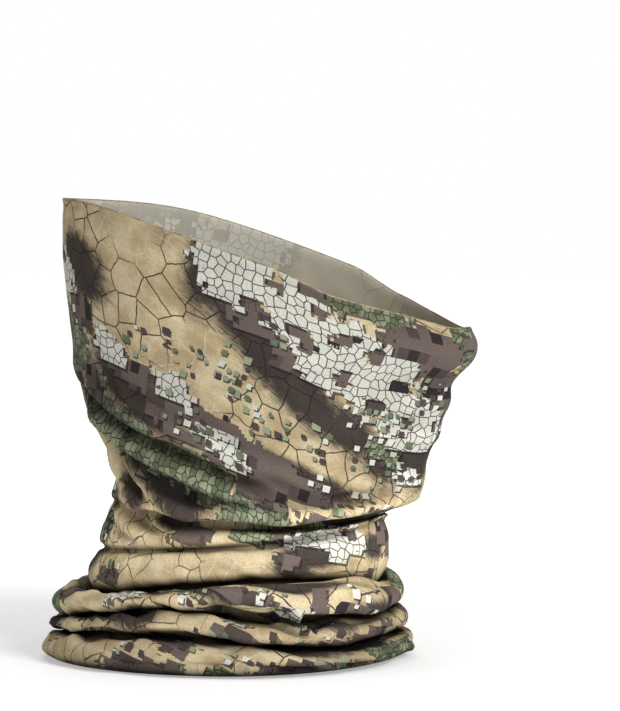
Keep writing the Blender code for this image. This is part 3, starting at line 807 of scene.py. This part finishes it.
# height (below 0 for a hollow), reach above and below the line, points (U, V) of the line
RIDGES = (
    (5.4, 6, 2.2, ((21, 36.6), (24.8, 38), (32.9, 39.9), (38.9, 40.7), (44.8, 40.6), (50.2, 40.9),
                   (56.7, 40.8), (62.1, 39.9), (67, 38.6))),
    (-5.6, 4.2, 3.2, ((19, 33.4), (23.8, 35.2), (31.8, 37), (38.3, 37.9), (44.8, 37.3),
                      (50.7, 37.6), (56.7, 38.1), (63.2, 37))),
    (-4.2, 3, 7, ((21, 39.6), (24.8, 41), (32.9, 42.6), (38.9, 43.2), (44.8, 43.2), (52, 43.4))),
    (2.2, 6, 3.2, ((12, 28.5), (22, 33.4), (31, 35.2), (38, 35.6), (46, 34.8), (54, 35.2))),
    (1.3, 5, 3, ((34, 31.2), (42, 33), (50, 32.4), (60, 33.6), (70, 33.2))),
    (3.4, 3.6, 2, ((20, 45), (26, 48.4), (32, 50.8), (38, 52.2), (45, 53))),
    (-2.6, 2.2, 3.2, ((20, 47.2), (26, 50.6), (32, 52.8), (38, 54.2), (46, 54.8))),
    (2.6, 3.4, 2, ((18, 53.2), (24, 55.4), (32, 56.2), (40, 56.6))),
    (-1.8, 2, 2.8, ((18, 55.2), (24, 57.4), (32, 58), (40, 58.2))),
    (2.8, 3.8, 1.9, ((25, 41.6), (31, 44.8), (37, 46.8), (44, 47.6), (52, 47.4))),
    (-2.2, 2.2, 3, ((25, 43.8), (31, 46.8), (37, 48.8), (44, 49.6), (52, 49.2))),
    (-1.5, 6.5, 4, ((54.5, 42), (61.5, 39.7), (70.7, 37), (79.3, 35), (86, 34))),
    (1.1, 4.5, 2.6, ((56, 44.4), (64, 42.4), (73, 39.6), (82, 37.2), (88, 36.2))),
    (1.3, 3, 2.2, ((24, 57.5), (32, 57.6), (41.6, 56.3), (52.9, 53.9), (60, 51.5))),
    (-1, 5, 5, ((22, 66.5), (29, 66.8), (44.8, 62.4), (59.9, 57.4), (73.9, 51.9), (85, 50))),
    (0.9, 5, 3, ((30, 70.5), (42, 66.6), (54, 62.2), (66, 57.6), (78, 54.6), (88, 53))),
    (1, 3, 2.4, ((70, 49.4), (80, 47), (90, 46.2))),
    # the upper roll: lips of the spindle opening, the turned-over flap and the hollow beside it
    (1.7, 4, 1.3, ((57, 69.6), (60.5, 68.6), (65.3, 66.4), (69.1, 65.7), (72.9, 65.9), (76, 66.6))),
    (1.5, 1.6, 3.4, ((58, 74.6), (63.7, 76), (67.5, 75), (71.5, 73.6))),
    (-3.2, 2.6, 2.6, ((76.5, 70), (79.5, 71.6), (83, 71.6), (87, 70.2))),
    (1.4, 3.4, 1.8, ((74, 66), (80, 66.2), (86, 67), (91, 67.4))),
    (-1.8, 2.2, 3, ((36, 73.4), (42, 74.6), (48, 74.4), (54, 74))),
    # the middle fold
    (1.6, 3.6, 2, ((30, 80.4), (38, 80.8), (46, 81.6), (54, 82.4), (62, 83.2))),
    (-1.3, 2.6, 2.6, ((40, 84.2), (50, 85), (60, 85.6), (68, 84.4))),
    (1.5, 3.2, 2.2, ((62, 80.2), (69, 81.4), (75, 79.8), (82, 76.6), (90, 73.6))),
    # the lowest roll: a second layer shows below the first
    (-2.2, 1.7, 1.7, ((47, 97.6), (51.3, 96.9), (59.4, 93.6), (65.9, 90.4), (74.5, 86.8),
                      (82.6, 83.2), (92, 79.6))),
    (1.2, 2, 3, ((51.3, 98.3), (59.4, 95.2), (65.9, 92), (74.5, 88.4), (82.6, 84.8), (92, 81.2))),
    (0.8, 3, 2, ((20, 91), (30, 92.5), (40, 92.6), (50, 90.6))),
    # drag lines round mouth and chin
    (0.45, 2.6, 1.8, ((80, 21), (86, 23.4), (92, 26))),
    (0.4, 2.6, 1.8, ((78, 25), (85, 26.6), (92, 28.8))),
    (0.35, 2.2, 1.8, ((82, 17.6), (88, 19.6), (93, 22))),
    (0.4, 3, 2, ((40, 12), (52, 17), (64, 21.4))),
    (0.35, 3, 2, ((36, 17), (48, 22.4), (60, 26.4))),
)
FLAP = ((69.6, 73.0), (74.2, 65.4), (77.0, 76.0))
SPINDLE_TOP = ((59.5, 70.4), (61.5, 68.7), (65.3, 67), (69.1, 66.4), (72.9, 66.5), (75.5, 68.6))
SPINDLE_LOW = ((59.5, 72), (63.7, 74.9), (67.5, 74), (70, 73.2), (72.5, 72), (75.5, 70.6))


def across(cell_u, cell_v, points):
    """Distance below a line in print cells, and how much of the line is there."""
    line_u, line_v = np.array(points, float).T
    fine = np.linspace(line_u[0], line_u[-1], 80)
    smooth = np.interp(fine, line_u, line_v)
    for _ in range(6):
        smooth[1:-1] = (smooth[:-2] + 2 * smooth[1:-1] + smooth[2:]) / 4
    level = np.interp(cell_u, fine, smooth)
    slope = np.interp(cell_u, fine, np.gradient(smooth, fine))
    distance = (cell_v - level) * CELL_HEIGHT / np.sqrt(1 + slope**2)
    fade = ease((cell_u - line_u[0] + 3.5) / 7.0) * ease((line_u[-1] + 3.5 - cell_u) / 7.0)
    return distance, fade


def side_folds(cell_u, cell_v):
    """Height of one side's ridges and spindle opening, and of its flap."""
    out = np.zeros_like(cell_u)
    for height, above, below, points in RIDGES:
        distance, fade = across(cell_u, cell_v, points)
        out += height * fade * bell(distance / np.where(distance < 0, above, below))
    # spindle: cloth that turns in between two lips
    top, _ = across(cell_u, cell_v, SPINDLE_TOP)
    low, _ = across(cell_u, cell_v, SPINDLE_LOW)
    ends = ease((cell_u - 59.0) / 4.0) * ease((76.5 - cell_u) / 4.0)
    out -= 4.2 * ends * ease(np.minimum(top, -low) / 3.2)
    # flap: a raised triangle
    inside = np.full(cell_u.shape, 9.0)
    for (ax, ay), (bx, by) in zip(FLAP, FLAP[1:] + FLAP[:1]):
        area = (bx - ax) * (cell_v - ay) - (by - ay) * (cell_u - ax)
        inside = np.minimum(inside, area / math.hypot(bx - ax, by - ay) * CELL_HEIGHT)
    lean = np.clip((cell_u - FLAP[0][0]) / (FLAP[2][0] - FLAP[0][0]), 0, 1)
    flap = (2.2 + 1.6 * lean) * ease((inside + 0.8) / 2.0) * ease((77.5 - cell_v) / 4.0)
    return out, flap


def fold_relief(cell_u, cell_v, marks):
    """Height of the folds and of the fine wrinkles over the smooth cloth, on the whole grid."""
    mirrored = float(CELLS_ROUND) - cell_u
    other_v = cell_v + 1.2 * np.sin(TURN * cell_u / PERIOD) + 0.4
    other, other_flap = side_folds(mirrored, other_v)
    out, flap = side_folds(cell_u, cell_v)
    out = out + 0.85 * other
    near = np.minimum(cell_u, mirrored)  # cells from the centre back, on either side
    mark = marks[:, None]
    face = ease((-0.9 - mark) / 0.7)
    rolls = ease((mark - 11.0) / 3.0) * ease((27.5 - mark) / 1.5)
    throat = (1 - face) * (1 - rolls) * ease((27.0 - mark) / 1.0)

    def ripple(seed, count, height, along=cell_u, down=cell_v, shift=0):
        return lattice(along * count / CELLS_ROUND + shift, down / height, seed, count)

    broad = ripple(101, count=22, height=7.0)
    short = ripple(102, count=40, height=2.6, shift=3)
    thin = ripple(103, count=26, height=1.9)
    sharp = 1 - 2 * np.abs(ripple(104, count=15, height=4.2))
    drag = ripple(105, count=30, height=3.4, down=cell_v - 0.32 * near)
    slanted = ripple(106, count=34, height=3.0, along=cell_u + 0.7 * cell_v)
    slanted = (1 - 2 * np.abs(slanted)) * ease(near / 8.0)
    out += face * (0.35 * broad + 0.34 * drag)
    out += throat * (0.7 * broad + 0.7 * short + 0.6 * thin)
    out += rolls * (1.2 * broad + 1.1 * short + 0.9 * thin + 0.8 * sharp + 0.7 * slanted)
    open_cloth = np.ones_like(mark)
    for name in CREASES:
        calm = 0.15 + 0.85 * ease(np.abs(mark - MARK[name]) / 1.6)
        open_cloth = np.minimum(open_cloth, calm)
    # at the wearer's front the throat band is pressed flat under the chin
    press = ease((near - 78.0) / 10.0) * ease((mark + 0.6) / 1.0) * ease((10.0 - mark) / 2.0)
    flat = ease((27.2 - mark) / 1.0) * (1 - 0.92 * press)
    # the hollow under the jaw and the lip above it
    jaw = ease((near - 24.0) / 14.0) * (0.25 + 0.75 * ease((95.0 - near) / 12.0))
    under = -2.8 * jaw * bell((mark - 3.3) / 1.3) + 0.9 * jaw * bell((mark - 0.3) / 0.8)
    for name, depth in CREASE_DEPTHS:
        under = under - depth * bell((mark - MARK[name]) / 0.9)
    return out * open_cloth * flat + under * (1 - press) + flap + 0.6 * other_flap


# ------------------------------------------------------------------------------------------------
# grid tools
# ------------------------------------------------------------------------------------------------
def grid_normals(points):
    """Outward normals of a grid that is closed round the columns."""
    around = np.roll(points, -1, axis=1) - np.roll(points, 1, axis=1)
    down = np.empty_like(points)
    down[1:-1] = points[2:] - points[:-2]
    down[0], down[-1] = points[1] - points[0], points[-1] - points[-2]
    return unit(np.cross(down, around))


def grid_quads(rows, columns):
    index = np.arange(rows * columns).reshape(rows, columns)
    beside = np.roll(index, -1, axis=1)
    corners = [index[:-1], index[1:], beside[1:], beside[:-1]]
    return np.stack(corners, axis=-1).reshape(-1, 4).tolist()


def blur_round(values, sigma):
    """Blur round the columns, of an array [row, column]."""
    count = values.shape[1]
    wave = np.fft.rfftfreq(count, 1.0 / count)
    keep = np.exp(-0.5 * (TURN * wave / count * sigma) ** 2)
    return np.fft.irfft(np.fft.rfft(values, axis=1) * keep, count, axis=1)


def blur_down(values, sigma):
    """Blur down the rows, of an array [row, column]."""
    reach = int(3 * sigma) + 1
    kernel = np.exp(-0.5 * (np.arange(-reach, reach + 1) / sigma) ** 2)
    kernel /= kernel.sum()
    padded = np.pad(values, ((reach, reach), (0, 0)), mode="edge")
    return sum(share * padded[k : k + len(values)] for k, share in enumerate(kernel))


def wall_length(points):
    """Length down the wall from the cut edge at each grid point."""
    step = np.linalg.norm(np.diff(points, axis=0), axis=2)
    run = np.concatenate([np.zeros((1, points.shape[1])), np.cumsum(step, axis=0)])
    return blur_round(run, sigma=10.0)


def straighten(cell_u, cell_v, marks):
    """Print cells stay square on the rolls, where the tube's rows run on a slant."""
    mark = marks[:, None]
    out = cell_u.copy()
    for centre, first, last in (
        ("upper", "gather_a", "gather_b"),
        ("middle", "gather_b", "gather_c"),
        ("lower", "gather_c", "tucked_end"),
    ):
        level = blur_round(cell_v[[int(np.argmin(np.abs(marks - MARK[centre])))]], sigma=14.0)
        slant = (np.roll(level, -1, axis=1) - np.roll(level, 1, axis=1)) / 2
        slant = slant * cell_v.shape[1] / CELLS_ROUND
        here = ease((mark - MARK[first] + 0.7) / 1.4) * ease((MARK[last] + 0.7 - mark) / 1.4)
        out -= np.clip(slant, -0.6, 0.6) * here * np.clip(cell_v - level, -9, 9)
    return out


def hidden_share(points, reach=15.0, rays=14, row_step=2, column_step=3):
    """How much of the space in front of each point is taken by cloth or by the floor, 0 to 1."""
    rows, columns = points.shape[:2]
    tree = BVHTree.FromPolygons(points.reshape(-1, 3).tolist(), grid_quads(rows, columns))
    normals = grid_normals(points)
    # a fan of rays about the normal, turned by the golden angle
    number = np.arange(rays) + 0.5
    lean, turn = np.sqrt(number / rays), number * 2.399963
    fan = np.column_stack([lean * np.cos(turn), lean * np.sin(turn), np.sqrt(1 - number / rays)])
    at_rows = np.arange(0, rows, row_step)
    at_columns = np.arange(0, columns, column_step)
    out = np.zeros((len(at_rows), len(at_columns)))
    for row, i in enumerate(at_rows):
        for column, j in enumerate(at_columns):
            normal = normals[i, j]
            side = np.cross(normal, (0.0, 0.0, 1.0) if abs(normal[2]) < 0.9 else (1.0, 0.0, 0.0))
            side /= math.sqrt(float(side @ side))
            rise = np.cross(normal, side)
            start = Vector(points[i, j] + 0.35 * normal)
            taken = 0.0
            for way in fan[:, :1] * side + fan[:, 1:2] * rise + fan[:, 2:] * normal:
                hit = tree.ray_cast(start, Vector(way), reach)[3]
                if way[2] < -1e-3:
                    ground = -start.z / way[2]
                    hit = ground if hit is None else min(hit, ground)
                if hit is not None and hit < reach:
                    taken += 1.0 - (hit / reach) ** 2
            out[row, column] = taken / rays
    wide = np.concatenate([out, out[:, :1]], axis=1)
    knots = np.r_[at_columns, columns]
    wide = np.stack([np.interp(np.arange(columns), knots, line) for line in wide])
    return np.stack([np.interp(np.arange(rows), at_rows, line) for line in wide.T], axis=1)


# painted light and shade of the cloth at heights above the floor: brighter at the neck, darker on the
# face and at the foot
PAINTED_LIGHT_HEIGHTS = (0, 20, 38, 50, 75, 95, 130, 240)
PAINTED_LIGHT_LEVELS = (0.80, 0.90, 1.04, 1.28, 1.24, 0.92, 0.78, 0.75)


def cloth_shade(points, cell_u, cell_v):
    """Painted light and shade: painted shade in deep folds and hollows, a painted highlight on ridges,
    painted light that is brighter at the neck and darker on the face, and a painted shadow behind the
    jaw.
    """
    taken = blur_round(blur_down(hidden_share(points), sigma=0.8), sigma=1.0)
    smooth = [blur_round(blur_down(points[..., k], sigma=3.0), sigma=2.6) for k in range(3)]
    hollow = ((np.stack(smooth, axis=-1) - points) * grid_normals(points)).sum(axis=-1)
    # painted shade where nearby cloth or the floor hides the space in front of the cloth
    shade = 1.0 - 0.92 * ease(taken * 1.25)
    # painted highlight on ridges and painted shade in hollows
    shade *= 1.0 + 0.20 * np.clip(-hollow / 0.5, 0, 1) - 0.28 * np.clip(hollow / 0.5, 0, 1)
    # painted light by height: brighter at the neck, darker on the face and at the foot
    tone = np.interp(points[..., 2], PAINTED_LIGHT_HEIGHTS, PAINTED_LIGHT_LEVELS)
    # painted shadow: a dark slanting area on each side of the back, in the hollow above the fold
    # behind the jaw
    near = np.minimum(cell_u, CELLS_ROUND - cell_u)
    painted_shadow_behind = bell((near - 31.0) / 13.0) * bell((cell_v - 25.0 - 0.30 * near) / 5.0)
    return np.clip(shade * tone * (1.0 - 0.50 * painted_shadow_behind), 0.04, 1.45)


# ------------------------------------------------------------------------------------------------
# the cloth and its pieces
# ------------------------------------------------------------------------------------------------
grid, marks = cloth_grid()
length = wall_length(grid)
columns = np.arange(COLUMNS) / COLUMNS
cell_u = np.broadcast_to(columns[None, :] * CELLS_ROUND, length.shape)
cell_v = length / CELL_HEIGHT
relief = fold_relief(cell_u, cell_v, marks)
relief += 0.7 * bell(length / 2.2)  # the cut edge curls outwards a little
grid = grid + grid_normals(grid) * relief[..., None]
grid[..., 2] = np.maximum(grid[..., 2], CLOTH / 2 + 0.05)  # clear of the floor
print_u = straighten(cell_u, cell_v, marks)
paint = print_fields(print_u, cell_v, cloth_shade(grid, cell_u, cell_v))

knit = knit_print()
reverse = knit_reverse()
cut = speckled(
    "knit_cut", dark=srgb(120, 104, 88), light=srgb(176, 158, 124), scale=260.0, roughness=0.9
)
thread = speckled(
    "seam_thread", dark=srgb(150, 134, 104), light=srgb(178, 162, 128), scale=900.0, roughness=0.6
)
allowance_colour = srgb(196, 184, 156)
allowance_knit = speckled(
    "seam_allowance", dark=tuple(c * 0.94 for c in allowance_colour), light=allowance_colour,
    scale=420.0, roughness=0.9,
)


def rows_between(first, last):
    return np.where((marks >= first - 1e-6) & (marks <= last + 1e-6))[0]


def link_object(name, data):
    obj = bpy.data.objects.new(name, data)
    bpy.context.scene.collection.objects.link(obj)
    return obj


def apply_modifiers(obj):
    graph = bpy.context.evaluated_depsgraph_get()
    final = bpy.data.meshes.new_from_object(
        obj.evaluated_get(graph), preserve_all_data_layers=True, depsgraph=graph
    )
    old = obj.data
    obj.modifiers.clear()
    obj.data = final
    final.name = obj.name
    bpy.data.meshes.remove(old)


def strip(name, first, last):
    """The cloth between two marks as a closed, thick mesh, with the print in its UV map."""
    keep = rows_between(first, last)
    points = (grid[keep] + SHIFT) / 1000.0
    mesh = bpy.data.meshes.new(name)
    mesh.from_pydata(points.reshape(-1, 3).tolist(), [], grid_quads(*points.shape[:2]))
    here = np.stack([print_u[keep], cell_v[keep]], axis=-1)
    beside = np.roll(here, -1, axis=1)
    beside[:, -1, 0] += CELLS_ROUND
    corners = np.stack([here[:-1], here[1:], beside[1:], beside[:-1]], axis=2)
    layer = mesh.uv_layers.new(name="print")
    layer.data.foreach_set("uv", corners.astype(np.float32).ravel())
    for key, values in paint.items():
        layer = mesh.attributes.new(key, "FLOAT_VECTOR", "POINT")
        layer.data.foreach_set("vector", values[keep].astype(np.float32).ravel())
    mesh.update()
    mesh.shade_smooth()
    obj = link_object(name, mesh)
    for material in (knit, reverse, cut):
        mesh.materials.append(material)
    solid = obj.modifiers.new("Jersey", "SOLIDIFY")
    solid.thickness = CLOTH / 1000.0
    solid.offset = 0.0
    solid.use_even_offset = False
    solid.material_offset = 1
    solid.material_offset_rim = 2
    apply_modifiers(obj)
    return obj


def tube_faces(rings, sides, closed=False):
    """Faces of a tube, with caps unless it closes on itself."""
    faces = []
    for k in range(rings if closed else rings - 1):
        ring, following = k * sides, (k + 1) % rings * sides
        for j in range(sides):
            beside = (j + 1) % sides
            faces.append((ring + j, ring + beside, following + beside, following + j))
    if not closed:
        faces.append(tuple(range(sides - 1, -1, -1)))
        faces.append(tuple((rings - 1) * sides + j for j in range(sides)))
    return faces


def cord(points, radius, sides, closed=False):
    """Vertices and faces of a round cord along points."""
    points = np.array(points, float)
    if closed:
        along = np.roll(points, -1, axis=0) - np.roll(points, 1, axis=0)
    else:
        along = np.gradient(points, axis=0)
    along = unit(along)
    verts = []
    reference = np.array([0.0, 0.0, 1.0] if abs(along[0, 2]) < 0.9 else [1.0, 0.0, 0.0])
    for point, tangent in zip(points, along):
        side = np.cross(tangent, reference)
        side /= np.linalg.norm(side)
        rise = np.cross(tangent, side)
        reference = np.cross(side, tangent)
        for j in range(sides):
            angle = TURN * j / sides
            verts.append(point + radius * (math.cos(angle) * side + math.sin(angle) * rise))
    return verts, tube_faces(len(points), sides, closed)


def mesh_of(name, parts, material):
    """One object from several (vertices, faces) in millimetres."""
    verts, faces = [], []
    for part_verts, part_faces in parts:
        start = len(verts)
        verts.extend(((np.array(x) + SHIFT) / 1000.0).tolist() for x in part_verts)
        faces.extend(tuple(start + i for i in face) for face in part_faces)
    mesh = bpy.data.meshes.new(name)
    mesh.from_pydata(verts, [], faces)
    edit = bmesh.new()
    edit.from_mesh(mesh)
    bmesh.ops.recalc_face_normals(edit, faces=edit.faces)
    edit.to_mesh(mesh)
    edit.free()
    mesh.shade_smooth()
    mesh.materials.append(material)
    return link_object(name, mesh)


# centre-back seam: a zigzag between two rows of stitches, with a flat strip inside
ZIGZAG_HALF, ZIGZAG_STEP, ZIGZAG_RADIUS = 2.1, 1.05, 0.20
STITCH_ROW_X, STITCH_LENGTH, STITCH_PITCH, STITCH_RADIUS = 2.3, 2.0, 2.45, 0.22
ALLOWANCE_STEP = 1.6
# section of the strip: across the seam, depth inwards from the mid-surface
ALLOWANCE = (
    (-3.0, 0.42), (-2.6, 0.95), (0.0, 1.05), (2.6, 0.95), (3.0, 0.42),
    (3.0, 0.36), (0.0, 0.36), (-3.0, 0.36),
)


def seam(name, first, last):
    """The seam between two marks: its stitches and its inner strip."""
    keep = rows_between(first, last)
    rows = grid[keep]
    centre = rows[:, 0]
    run = np.r_[0, np.cumsum(np.linalg.norm(np.diff(centre, axis=0), axis=1))]
    lines = (centre, unit(rows[:, 1] - rows[:, -1]), grid_normals(grid)[keep][:, 0])

    def at(distance, x, out):
        base, side, normal = (
            np.array([np.interp(distance, run, line[:, k]) for k in range(3)]) for line in lines
        )
        return base + side * x + normal * out

    start, end = 1.2, run[-1] - 0.8
    rise = CLOTH / 2 + 0.10
    zigzag = [
        at(distance, ZIGZAG_HALF if k % 2 else -ZIGZAG_HALF, rise)
        for k, distance in enumerate(np.arange(start, end, ZIGZAG_STEP))
    ]
    parts = [cord(zigzag, ZIGZAG_RADIUS, sides=5)]
    for x in (-STITCH_ROW_X, STITCH_ROW_X):
        distance = start
        while distance + STITCH_LENGTH < end:
            # the ends of a stitch dip into the cloth
            stitch = [
                at(distance + STITCH_LENGTH * way, x, rise - 0.22 * abs(2 * way - 1) ** 3)
                for way in (0, 0.2, 0.5, 0.8, 1.0)
            ]
            parts.append(cord(stitch, STITCH_RADIUS, sides=5))
            distance += STITCH_PITCH
    outside = mesh_of(name + "_stitch", parts, thread)
    steps = np.arange(0.6, end, ALLOWANCE_STEP)
    verts = [at(distance, x, -depth) for distance in steps for x, depth in ALLOWANCE]
    strip_part = (verts, tube_faces(len(steps), len(ALLOWANCE)))
    return outside, mesh_of(name + "_allowance", [strip_part], allowance_knit)


cover = strip("mask_cover", TOP_MARK, MARK["crease_a_in"])
upper = strip("collar_upper_fold", MARK["crease_a_in"], MARK["gather_b"])
middle = strip("collar_middle_fold", MARK["gather_b"], MARK["gather_c"])
lower = strip("collar_lower_fold", MARK["gather_c"], MARK["tucked_end"])
# a fine bead where the cut edge curls
bead = mesh_of("cut_edge_bead", [cord(grid[0], CLOTH * 0.56, sides=8, closed=True)], cut)
face_seam = seam("back_seam", TOP_MARK, MARK["band"])
neck_seam = seam("neck_seam", MARK["crease_a_out"], MARK["gather_a_up"])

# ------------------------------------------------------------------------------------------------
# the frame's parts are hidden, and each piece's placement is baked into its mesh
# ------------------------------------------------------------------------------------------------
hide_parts("upper_edge_band", "face_cover", "chin_cover", "jaw_tuck", "throat_band")
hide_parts("neck_band", "collar_roll_upper")
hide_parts("collar_roll_middle")
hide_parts("collar_roll_lower", "tucked_lower_end")
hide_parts("back_seam")
for piece in (cover, bead, *face_seam):
    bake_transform(piece)
for piece in (upper, *neck_seam):
    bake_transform(piece)
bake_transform(middle)
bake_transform(lower)

# ------------------------------------------------------------------------------------------------
# stage, camera and light, in metres
# ------------------------------------------------------------------------------------------------
CAMERA_AZIMUTH = math.radians(-73.0)  # direction of the picture's right-hand side
CAMERA_DISTANCE = 1.6
CAMERA_Z = 0.21
AIM_Z = 0.1557
AIM_ASIDE = 0.039     # to the right of the wearer's axis, as the camera sees it
VIEW_WIDTH = 0.36972  # width of the view at the point aimed at

bpy.ops.mesh.primitive_plane_add(size=40.0, location=(0, 0, -0.0004))
floor = bpy.context.active_object
floor.name = "floor"
floor.data.materials.append(floor_paper())


def point_at(obj, where, target):
    obj.location = where
    obj.rotation_euler = (Vector(target) - Vector(where)).to_track_quat("-Z", "Y").to_euler()


right = Vector((math.cos(CAMERA_AZIMUTH), math.sin(CAMERA_AZIMUTH), 0))
towards_camera = Vector((math.sin(CAMERA_AZIMUTH), -math.cos(CAMERA_AZIMUTH), 0))
base = Vector((0, 0.0148, 0)) + right * AIM_ASIDE
camera_data = bpy.data.cameras.new("camera")
camera = link_object("camera", camera_data)
target = base + Vector((0, 0, AIM_Z))
point_at(camera, base + towards_camera * CAMERA_DISTANCE + Vector((0, 0, CAMERA_Z)), target)
camera_data.sensor_width = 36.0
camera_data.lens = camera_data.sensor_width * (target - camera.location).length / VIEW_WIDTH
bpy.context.scene.camera = camera


def lamp(name, where, target_z, size, power):
    """A square area light that points at the wearer's axis."""
    light = bpy.data.lights.new(name, "AREA")
    light.shape = "RECTANGLE"
    light.size = light.size_y = size
    light.energy = power
    point_at(link_object(name, light), where, (0, 0, target_z))


lamp("key", where=(-0.95, -1.3, 0.95), target_z=0.10, size=0.7, power=22)
lamp("fill", where=(-1.6, 0.5, 0.8), target_z=0.12, size=1.0, power=2.8)
lamp("far", where=(1.5, 0.6, 0.9), target_z=0.12, size=1.0, power=5)
lamp("top", where=(0.0, 0.0, 1.6), target_z=0.10, size=0.9, power=5.5)

# a dim world lights the cloth, and the camera sees a white one
world = bpy.data.worlds.new("studio")
world.use_nodes = True
nodes, links = world.node_tree.nodes, world.node_tree.links
soft = nodes["Background"]
soft.inputs["Color"].default_value = (0.96, 0.98, 1.0, 1)
soft.inputs["Strength"].default_value = 0.12
seen = nodes.new("ShaderNodeBackground")
seen.inputs["Color"].default_value = (1, 1, 1, 1)
seen.inputs["Strength"].default_value = 1.0
path = nodes.new("ShaderNodeLightPath")
either = nodes.new("ShaderNodeMixShader")
links.new(path.outputs["Is Camera Ray"], either.inputs[0])
links.new(soft.outputs[0], either.inputs[1])
links.new(seen.outputs[0], either.inputs[2])
links.new(either.outputs[0], nodes["World Output"].inputs["Surface"])
bpy.context.scene.world = world
bpy.context.scene.view_settings.view_transform = "Standard"
